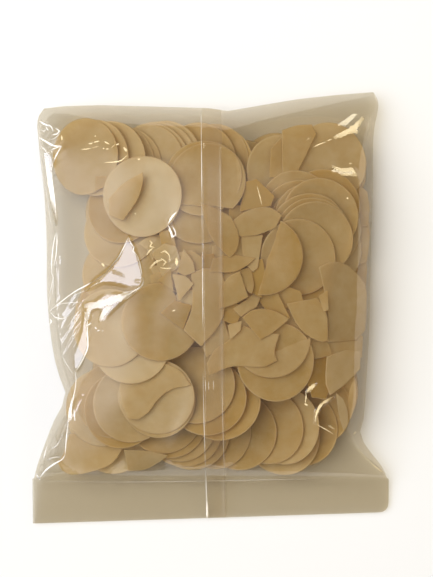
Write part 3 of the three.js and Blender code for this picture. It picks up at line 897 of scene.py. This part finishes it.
def rough_line(start, end, count):
    """Points along a break: a line that wanders a little."""
    share = np.linspace(0, 1, count, endpoint=False)
    across = np.array([start[1] - end[1], end[0] - start[0]])
    length = np.hypot(*across)
    across = across / length
    wander = np.zeros(count)
    for waves in BREAK_WAVES:
        size = length * BREAK_WANDER / waves ** 0.5
        wander = wander + size * np.sin(math.pi * waves * share + dice.uniform(*BREAK_PHASE))
    wander = wander * np.sin(math.pi * share) ** 0.5
    return start + np.outer(share, np.subtract(end, start)) + np.outer(wander, across)


def broken(pixel, start, end, tone_and_shade=None):
    """What is left of a papad between two angles of its rim."""
    rim = int(RIM_POINTS * (end - start) / 360)
    angle = np.radians(np.linspace(start, end, rim, endpoint=False))
    arc = PAPAD_RADIUS * np.column_stack((np.cos(angle), np.sin(angle)))
    stop = PAPAD_RADIUS * np.array([math.cos(math.radians(end)), math.sin(math.radians(end))])
    outline = np.vstack((arc, rough_line(stop, arc[0], RIM_POINTS - rim + BREAK_POINTS)))
    middle = outline.mean(axis=0)
    return {"kind": "broken", "outline": outline - middle, "centre": on_sheet(pixel) + middle, "slope": None,
            "tone_and_shade": tone_and_shade_or_usual(tone_and_shade)}


def shard(*pixels, slope=None, tone_and_shade=None):
    """A splinter of papad, from pixels of its outline: sharp at corners, curved between."""
    corner = np.array([on_sheet(p) for p in pixels])
    outline = curve(corner, max(SIDE_POINTS, SHARD_POINTS // len(corner)), True)
    outline += dice.normal(0, SHARD_GRAIN, outline.shape)
    middle = outline.mean(axis=0)
    return {"kind": "broken", "outline": outline - middle, "centre": middle, "slope": slope, "plan": True,
            "tone_and_shade": tone_and_shade_or_usual(tone_and_shade)}


# What shows through the film, from the top down.
# A tone given for a piece was matched to how light the piece looks, so besides the dough's own tone it
# paints in some of the light and shade on it; tones above 1 lighten papads that lie in shade, and one under
# a glint.
shown = [
    shard((142.6, 171.8), (143, 180), (138, 197), (122, 220), (108, 215), (107.5, 198), (122, 183),
          slope=(0.3, 0.05)),
    whole((141.5, 195.2), lean=16, radius=22.9, tone_and_shade=0.85),
    shard((93.5, 174.5), (105.5, 174.5), (107.5, 184), (93, 189.5), slope=(0.44, 0), tone_and_shade=0.2),
    whole((83, 154.5), lean=26, radius=21.6, tone_and_shade=0.5),
    whole((93, 156), lean=24, tone_and_shade=0.55),
    whole((108, 157), lean=20, tone_and_shade=0.65),
    shard((200, 202), (216, 208), (232, 217), (239, 236), (237, 250), (230, 258), (211, 238)),
    broken((207, 180), -48, 217, tone_and_shade=0.3),
    whole((203, 177), tone_and_shade=0.35),
    shard((232, 221), (246, 211), (262, 207), (272, 208), (282, 215), (276, 228), (256, 235), (240, 236.5)),
    shard((245, 181), (257, 178.5), (275, 196), (271, 206), (240, 211), tone_and_shade=-0.1),
    shard((229, 207), (242, 204), (249, 212), (240, 223), (229, 222), tone_and_shade=0.1),
    broken((264, 256), -99, 65),
    shard((240, 271), (248.5, 297), (233, 305), (219, 309.5), (220, 290), (228.5, 277), tone_and_shade=0.35),
    shard((213, 258), (232, 255), (256, 258), (245, 267), (232, 272), (209, 272)),
    shard((241, 236), (263, 234.5), (258, 268), (253, 272), (245, 262)),
    shard((240, 270), (251, 266), (254, 285), (252, 294), (247, 290), tone_and_shade=0.3),
    shard((172, 274), (185, 276), (193.5, 284), (179, 301.6), tone_and_shade=0.5),
    shard((157.7, 280), (170.6, 268.6), (173.5, 291.6), tone_and_shade=0.35),
    shard((183.5, 248.6), (193, 262), (195, 272), (185, 276), (177, 272), tone_and_shade=0.45),
    shard((191, 273), (206, 268), (222, 272), (226, 290), (221, 322), (201, 347), (183.5, 330.5), (192, 306),
          tone_and_shade=0.4),
    shard((160, 313), (174, 300.5), (192, 305.5), (183, 330), tone_and_shade=0.05),
    shard((227.6, 325), (242, 321), (240.6, 330.6), (230, 340), tone_and_shade=0.6),
    shard((242, 317.6), (253.6, 310), (272, 310), (290, 319), (272, 333.6), (260.5, 339.8), (252.8, 330.6)),
    shard((319, 296), (328, 290), (329, 310), (324, 312), tone_and_shade=0.4),
    shard((287, 303.8), (318, 297.7), (327, 313), (328, 341), (321, 342), (305.7, 334), (295, 320.6)),
    shard((319, 267), (333, 261.5), (347, 264), (360, 275), (367, 290), (366, 330), (358, 341), (328.5, 343),
          (328.5, 310), tone_and_shade=0.55),
    shard((228, 341), (244, 326), (262, 332), (280, 334), (275, 351), (277, 361), (264, 367), (232, 367),
          (209, 376), (206, 364), (215, 350), tone_and_shade=0.4),
    broken((272, 339), 219, 362),
    whole((276, 362)),
    shard((327, 357), (345, 351), (361, 351), (361, 369), (346, 385), (330, 396), (326, 382), tone_and_shade=0.7),
    broken((160, 322), 75, 331, tone_and_shade=0.35),
    whole((110, 328), tone_and_shade=0.75),
    whole((130, 346), tone_and_shade=0.85),
    shard((118.6, 386), (121, 403), (127.9, 419.3), (137.9, 420), (147.9, 413), (157.9, 400), (170.7, 390),
          (191, 385.5), (181, 371.5), (169, 365.5), (153, 358), (136, 362), (124, 372), tone_and_shade=0.55),
    whole((156, 397.5), tone_and_shade=0.75),
    whole((157, 400)),
    whole((131, 405), tone_and_shade=0.5),
    whole((120, 412), tone_and_shade=0.1),
    whole((112, 402)),
    whole((97, 411), lean=24, tone_and_shade=0.65),
    shard((99, 366), (89, 377), (83, 388.5), (96, 393), (104, 380)),
    shard((228, 238), (238, 233), (247, 236), (248, 262), (231, 260), tone_and_shade=0.4),
    shard((252, 262), (263, 258), (266, 280), (262, 298), (249, 292), tone_and_shade=-0.2),
    shard((152, 252), (164, 243), (176, 246), (182, 266), (162, 278), tone_and_shade=0.9),
    shard((178, 252), (192, 250), (203, 258), (201, 278), (184, 282), tone_and_shade=0.3),
    shard((199, 255), (214, 253), (217, 270), (202, 273), tone_and_shade=-0.3),
    shard((158, 231), (172, 229), (176, 246), (162, 249), tone_and_shade=0.2),
    shard((149, 275), (160, 272), (164, 286), (152, 291), tone_and_shade=0.6),
    shard((233, 309), (246, 300), (256, 293), (262, 295), (257, 307), (248, 312), (241, 317), tone_and_shade=0.5),
    shard((259, 301), (265, 293), (277, 291), (283, 303), (291, 319), (270, 313), tone_and_shade=0.1),
    shard((217, 304), (234, 299), (243, 311), (236, 326), (219, 319), tone_and_shade=0.15),
    shard((272, 291), (286, 287), (301, 291), (305, 304), (290, 309), (276, 304), tone_and_shade=0.15),
    shard((174, 296), (186, 288), (198, 292), (200, 308), (180, 312), tone_and_shade=0.8),
    shard((198, 334), (212, 322), (224, 320), (232, 344), (206, 358), tone_and_shade=0.55),
    shard((298, 328), (314, 330), (328, 337), (334, 356), (316, 360), (300, 352), tone_and_shade=0.4),
    shard((326, 338), (344, 334), (364, 336), (363, 358), (328, 360), tone_and_shade=0.55),
    shard((300, 356), (314, 350), (330, 356), (332, 384), (326, 400), (312, 398), tone_and_shade=-0.05),
    shard((212, 246), (226, 240), (236, 246), (237, 262), (222, 268), (212, 260), tone_and_shade=0.6),
    shard((214, 266), (230, 262), (242, 270), (238, 288), (222, 286), tone_and_shade=0.6),
    shard((150, 268), (162, 262), (178, 268), (176, 288), (158, 288), tone_and_shade=0.8),
    shard((226, 312), (240, 304), (258, 310), (260, 330), (238, 334), tone_and_shade=0.6),
    shard((268, 306), (284, 298), (304, 306), (302, 330), (280, 330), tone_and_shade=0.6),
    whole((196, 386), lean=9, toward=-40),
    whole((207, 398), lean=11, toward=-40, tone_and_shade=0.15),
    whole((222, 403), lean=12, toward=-35, tone_and_shade=0.15),
    whole((299, 257), tone_and_shade=0.4),
    whole((316, 239), tone_and_shade=0.4),
    whole((314, 235), tone_and_shade=0.3),
    whole((309, 231)),
    whole((321, 216), tone_and_shade=0.4),
    *(whole(pixel) for pixel in ((313, 219), (308, 224), (299, 219), (297, 208), (324, 206))),
    shard((294, 290), (312, 282), (332, 288), (330, 312), (304, 314), tone_and_shade=0.15),
    # Painted light: these two lie in shade by the right wall and are made paler than any dough.
    whole((326, 229), tone_and_shade=1.1),
    whole((326, 252), tone_and_shade=1.1),
    shard((282, 130), (296, 125), (312, 124), (317, 133), (297, 174), (283, 174), tone_and_shade=0.35),
    shard((271, 148), (283, 135), (283, 176), (270, 177), tone_and_shade=0.35),
    whole((331, 160), tone_and_shade=0.6),
    whole((284, 172), tone_and_shade=0.6),
    whole((199, 204)),
    whole((200, 221)),
    # Painted highlight: this splinter lies under a glint and in shade, and is made paler than any dough.
    shard((137, 243), (148, 236), (162, 233), (161, 248), (152, 260), (147, 250), tone_and_shade=1.3),
    whole((122, 203), tone_and_shade=0.05),
    whole((119, 228), tone_and_shade=0.5),
    whole((117, 271), tone_and_shade=0.5),
    whole((116, 161), tone_and_shade=0.7),
    whole((123, 163), tone_and_shade=0.65),
    *(whole(pixel, tone_and_shade=0.75) for pixel in ((147, 160), (152, 159), (158, 157), (164, 156))),
    whole((199, 159), tone_and_shade=0.35),
    whole((212, 160), tone_and_shade=0.35),
    whole((217, 163)),
    shard((123.5, 451), (128, 472), (145, 470), (160, 462), (168, 456), (150, 452), tone_and_shade=0.55),
    *(whole(pixel, lean=6, toward=200) for pixel in (
        (163, 418), (168, 422), (178, 425), (184, 431), (191, 435))),
    whole((214, 435), lean=14),
    whole((240, 435), lean=17),
    whole((268, 430), lean=19),
    whole((283, 428), lean=19),
    whole((284, 440), lean=19, toward=-20, tone_and_shade=0.5),
    whole((304, 432), lean=21),
    shard((336, 393), (343, 399), (348, 412), (348.5, 425), (344, 431), (340, 418), tone_and_shade=0.9),
    shard((355, 379), (357, 392), (355, 408), (350.5, 421), (349, 404), (351, 390), tone_and_shade=0.5),
    whole((318, 412), lean=22),
    whole((324, 396), lean=22),
    shard((66, 437), (61, 456), (56, 465), (61, 472), (72, 475.5), (92, 473), (112, 464), (122, 450),
          (100, 432), tone_and_shade=0.4),
    whole((110, 438), tone_and_shade=0.85),
    *(whole(pixel, tone_and_shade=0.6) for pixel in (
        (228, 232), (250, 222), (246, 262), (212, 262), (190, 258), (232, 300), (262, 296), (190, 300),
        (205, 330), (250, 345), (300, 325), (322, 300), (325, 345), (225, 372))),
    shard((346, 184), (360, 184), (368, 191), (370, 206), (369, 226), (347, 228), tone_and_shade=0.4),
    shard((345, 219), (368, 216), (370, 236), (368, 262), (356, 266), (346, 258), tone_and_shade=0.4),
    shard((345, 254), (367, 252), (368.5, 272), (367, 298), (355, 301), (346, 293), tone_and_shade=0.4),
]
for piece in shown:
    if lay(piece["outline"], piece["centre"], piece["slope"], piece.get("plan", False)):
        pieces_laid[-1]["kind"] = piece["kind"]
        pieces_laid[-1]["tone_and_shade"] = piece["tone_and_shade"]

# Hidden papads fill the room that is left, most of it first.
for _ in range(FILL_TRIES):
    room = np.where(covered & ~outside, roof - ground, 0.0)
    spots = dice.integers(0, room.size, FILL_SPOTS)
    spot = spots[np.argmax(room.ravel()[spots])]
    centre = (plan_x.ravel()[spot], plan_y.ravel()[spot])
    if lay(disc(PAPAD_RADIUS, FILL_RIM_POINTS), centre, fill=True):
        pieces_laid[-1]["kind"] = "whole"
        pieces_laid[-1]["tone_and_shade"] = dice.uniform(*FILL_TONE)


def sag(x, y, z):
    """How far the pile bows down at a place, less and less towards its bottom."""
    wave = 2 * math.pi / SAG_LENGTH
    swell = sum(np.sin(wave * (across * x + along * y) + start) for across, along, start in SAG_WAVES)
    return SAG * smooth_step(SAG_FREE_FROM, SAG_FULL_FROM, z) * (swell / 4 - 0.5)


def wafer(piece):
    """Points, faces and edge closeness of a thin plate with a rounded rim."""
    rings = FILL_RINGS if piece["fill"] else PAPAD_RINGS
    outline, count = piece["outline"], len(piece["outline"])
    bend = 0.0 if piece["fill"] else WARP
    curl = RIM_CURL if piece["kind"] == "whole" and not piece["fill"] else 0.0
    turn = piece["centre"].sum()
    saddle = np.array([[math.cos(turn), -math.sin(turn)], [math.sin(turn), math.cos(turn)]])
    levels = [(r, 0.0) for r in rings] + [(1.0, 0.5)] + [(r, 1.0) for r in rings[::-1]]
    points, near_rim = [], []
    for share, depth in [(0.0, 0.0)] + levels + [(0.0, 1.0)]:
        flat = outline * share if share else outline[:1] * 0.0
        rise = flat @ np.array(piece["slope"])
        x, y = flat[:, 0] + piece["centre"][0], flat[:, 1] + piece["centre"][1]
        lie = piece["height"] + rise
        turned = flat @ saddle
        warp = bend * (turned[:, 0] ** 2 - turned[:, 1] ** 2) / PAPAD_RADIUS ** 2
        turned_up = curl * max(0.0, (share - CURL_FROM) / (1 - CURL_FROM)) ** 2
        z = lie + sag(x, y, lie) - depth * PAPAD_THICKNESS + warp + turned_up
        points.append(np.column_stack((x, y, z)))
        near_rim.append(np.full(len(flat), share))
    faces = []
    last = 1 + count * len(levels)
    for i in range(count):
        j = (i + 1) % count
        faces.append((0, 1 + i, 1 + j))
        for ring in range(len(levels) - 1):
            a = 1 + ring * count
            faces.append((a + i, a + count + i, a + count + j, a + j))
        faces.append((last, last - count + j, last - count + i))
    return np.vstack(points), faces, np.concatenate(near_rim)


# Cloudy pale tan in each piece's tone, which also carries painted light and shade, with a painted highlight
# along the rim, a soft sheen, and a warm glow where light comes through.
dough, tree = new_material("sun-dried rice dough")
place = add_node(tree, "TexCoord")
tone_and_shade = add_node(tree, "Attribute", {"attribute_name": "wafer"})
parts = add_node(tree, "SeparateColor", inputs={0: tone_and_shade.outputs["Color"]})
cloud = add_node(tree, "TexNoise", inputs={
    "Vector": place.outputs["Object"], "Scale": 1 / (CLOUD_SIZE * MM),
    "Detail": CLOUD_DETAIL, "Roughness": CLOUD_ROUGHNESS})
mottle = add_node(tree, "Math", {"operation": "MULTIPLY_ADD"}, {
    0: cloud.outputs[0], 1: MOTTLE, 2: MOTTLE_SHIFT})
mixed = add_node(tree, "Math", {"operation": "ADD"}, {0: parts.outputs[0], 1: mottle.outputs[0]})
shade = add_node(tree, "Mix", {"data_type": "RGBA"}, {
    "Factor": mixed.outputs[0], 6: linear(PAPAD_DARK), 7: linear(PAPAD_LIGHT)})
# Painted highlight: towards its edge each papad turns to the paler rim colour.
rim = add_node(tree, "MapRange", {"interpolation_type": "SMOOTHSTEP"}, {
    "Value": parts.outputs[1], "From Min": RIM_HIGHLIGHT_FROM, "From Max": 1.0, "To Min": 0.0, "To Max": RIM_HIGHLIGHT_SHARE})
colour = add_node(tree, "Mix", {"data_type": "RGBA"}, {
    "Factor": rim.outputs[0], 6: shade.outputs[2], 7: linear(PAPAD_RIM_HIGHLIGHT)})
ripple = add_node(tree, "TexNoise", inputs={
    "Vector": place.outputs["Object"], "Scale": 1 / (RIPPLE_SIZE * MM), "Detail": 2.0, "Roughness": 0.5})
uneven = add_node(tree, "Bump", inputs={
    "Strength": RIPPLE_STRENGTH, "Distance": RIPPLE_DEPTH * MM, "Height": ripple.outputs[0]})
surface = add_node(tree, "BsdfPrincipled", inputs={
    "Base Color": colour.outputs[2], "Roughness": DOUGH_ROUGHNESS, "Specular IOR Level": DOUGH_GLOSS,
    "Normal": uneven.outputs[0]})
through = add_node(tree, "BsdfTranslucent", inputs={
    "Color": colour.outputs[2], "Normal": uneven.outputs[0]})
blend = add_node(tree, "MixShader", inputs={
    0: GLOW_SHARE, 1: surface.outputs[0], 2: through.outputs[0]})
clear = add_node(tree, "BsdfTransparent", inputs={"Color": linear(PAPAD_GLOW)})
sheer = add_node(tree, "MixShader", inputs={
    0: SHEER_SHARE, 1: blend.outputs[0], 2: clear.outputs[0]})
add_node(tree, "OutputMaterial", inputs={"Surface": sheer.outputs[0]})


def pile_of(name, kind):
    """One mesh of all the papads of a kind, fixed to the bag in place of its solid."""
    points, faces, wafer_tone_and_shade = [], [], []
    start = 0
    for piece in pieces_laid:
        if piece["kind"] == kind:
            own_points, own_faces, near_rim = wafer(piece)
            points.append(own_points)
            faces.extend([tuple(i + start for i in face) for face in own_faces])
            wafer_tone_and_shade.append(np.column_stack((np.full(len(near_rim), piece["tone_and_shade"]), near_rim)))
            start += len(own_points)
    pile = mesh_piece(name, np.vstack(points), faces, dough)
    paint_points(pile, "wafer", np.vstack(wafer_tone_and_shade))
    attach(pile, "root")
    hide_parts("papad_bag")


pile_of("papads_whole", "whole")

# Broken papads
# Pieces of the same dried dough that snapped in packing, with straight or wavy breaks. They lie loose
# among the whole ones, which they were laid with above.
pile_of("papads_broken", "broken")

# Floor, light and camera
# A plain pale table under a broad light from the upper left. A small window on the left and a small warm
# lamp on the right are there for the film to mirror, and a weak warm light comes from the right. The camera
# looks straight down, as in the photo.
TABLE_COLOUR = "#e5e6e9"
TABLE_REACH = 4000.0  # mm
TABLE_DROP = 0.2  # mm under the bag
WALL_COLOUR = "#eef3fa"
WALL_RADIANCE = 1.65
WALL_WAY = (-0.93, 0.37, 0.0)  # towards the middle of the wall
WALL_WIDTH = (-0.15, 0.55)  # from the wall's edge inwards, along that way
WALL_FOOT = (0.05, 0.4)  # upwards
WALL_END = (0.3, 0.62)  # along the bag
ROOM_COLOUR = "#f2ebe0"
ROOM_RADIANCE = 0.13
SENSOR_WIDTH = 36.0  # mm
FAR_CLIP = 20.0  # m
# Matte and nearly white, so that the film over it shows its own tint.
table_paint, tree = new_material("matte pale table")
paint = add_node(tree, "BsdfDiffuse", inputs={"Color": linear(TABLE_COLOUR)})
add_node(tree, "OutputMaterial", inputs={"Surface": paint.outputs[0]})
table_corners = [(x * TABLE_REACH, y * TABLE_REACH, -TABLE_DROP)
                 for x, y in ((-1, -1), (1, -1), (1, 1), (-1, 1))]
table = mesh_piece("table", table_corners, [(0, 1, 2, 3)], table_paint)


def soft_light(name, place, size, radiance, colour, mirrored=True):
    """A square soft box turned to the bag. Its size is in metres, and the film may or may not mirror it."""
    light = bpy.data.lights.new(name, "AREA")
    light.shape = "SQUARE"
    light.size = size
    light.energy = radiance * math.pi * size * size
    light.color = linear(colour)[:3]
    lamp = bpy.data.objects.new(name, light)
    lamp.location = Vector(place) * MM
    lamp.rotation_euler = (-lamp.location).to_track_quat("-Z", "Y").to_euler()
    lamp.visible_glossy = mirrored
    bpy.context.scene.collection.objects.link(lamp)


CEILING_LIGHT = lamp_place(azimuth=146, elevation=62, distance=1600.0)
WARM_LIGHT = lamp_place(azimuth=5, elevation=38, distance=1500.0)
soft_light("window_left", LEFT_LAMP, size=0.26, radiance=5.2, colour="#e0e8ff")
soft_light("lamp_right", RIGHT_LAMP, size=0.22, radiance=6.5, colour="#fff6d8")
soft_light("ceiling", CEILING_LIGHT, size=1.7, radiance=3.12, colour="#fffbf2", mirrored=False)
soft_light("warm_wall", WARM_LIGHT, size=1.0, radiance=1.6, colour="#ffe4a8", mirrored=False)

# The room is dim, with a pale wall on the left.
world = bpy.data.worlds.new("soft room")
world.use_nodes = True
tree = world.node_tree
tree.nodes.clear()
way = add_node(tree, "TexCoord")
parts = add_node(tree, "SeparateXYZ", inputs={0: way.outputs["Generated"]})
aside = add_node(tree, "VectorMath", {"operation": "DOT_PRODUCT"}, {
    0: way.outputs["Generated"], 1: WALL_WAY})
strength = WALL_RADIANCE
for value, (low, high), (first, last) in (
        (aside.outputs["Value"], WALL_WIDTH, (0.0, 1.0)),
        (parts.outputs["Z"], WALL_FOOT, (0.0, 1.0)),
        (parts.outputs["Y"], WALL_END, (1.0, 0.0))):
    fade = add_node(tree, "MapRange", {"interpolation_type": "SMOOTHSTEP"}, {
        "Value": value, "From Min": low, "From Max": high, "To Min": first, "To Max": last})
    share = add_node(tree, "Math", {"operation": "MULTIPLY"}, {0: strength, 1: fade.outputs[0]})
    strength = share.outputs[0]
wall_glow = add_node(tree, "Background", inputs={
    "Color": linear(WALL_COLOUR), "Strength": strength})
dim = add_node(tree, "Background", inputs={
    "Color": linear(ROOM_COLOUR), "Strength": ROOM_RADIANCE})
room = add_node(tree, "AddShader", inputs={0: wall_glow.outputs[0], 1: dim.outputs[0]})
add_node(tree, "OutputWorld", inputs={"Surface": room.outputs[0]})
bpy.context.scene.world = world
bpy.context.scene.view_settings.view_transform = "Standard"

camera = bpy.data.cameras.new("overhead")
focal_pixels = (CAMERA_HEIGHT - OUTLINE_HEIGHT) / MM_PER_PIXEL
camera.sensor_width = SENSOR_WIDTH
camera.lens = focal_pixels / PHOTO_SIZE[1] * SENSOR_WIDTH
camera.clip_end = FAR_CLIP
eye = bpy.data.objects.new("overhead", camera)
eye.location = Vector((*PHOTO_CENTRE_ON_TABLE, CAMERA_HEIGHT)) * MM
bpy.context.scene.collection.objects.link(eye)
bpy.context.scene.camera = eye
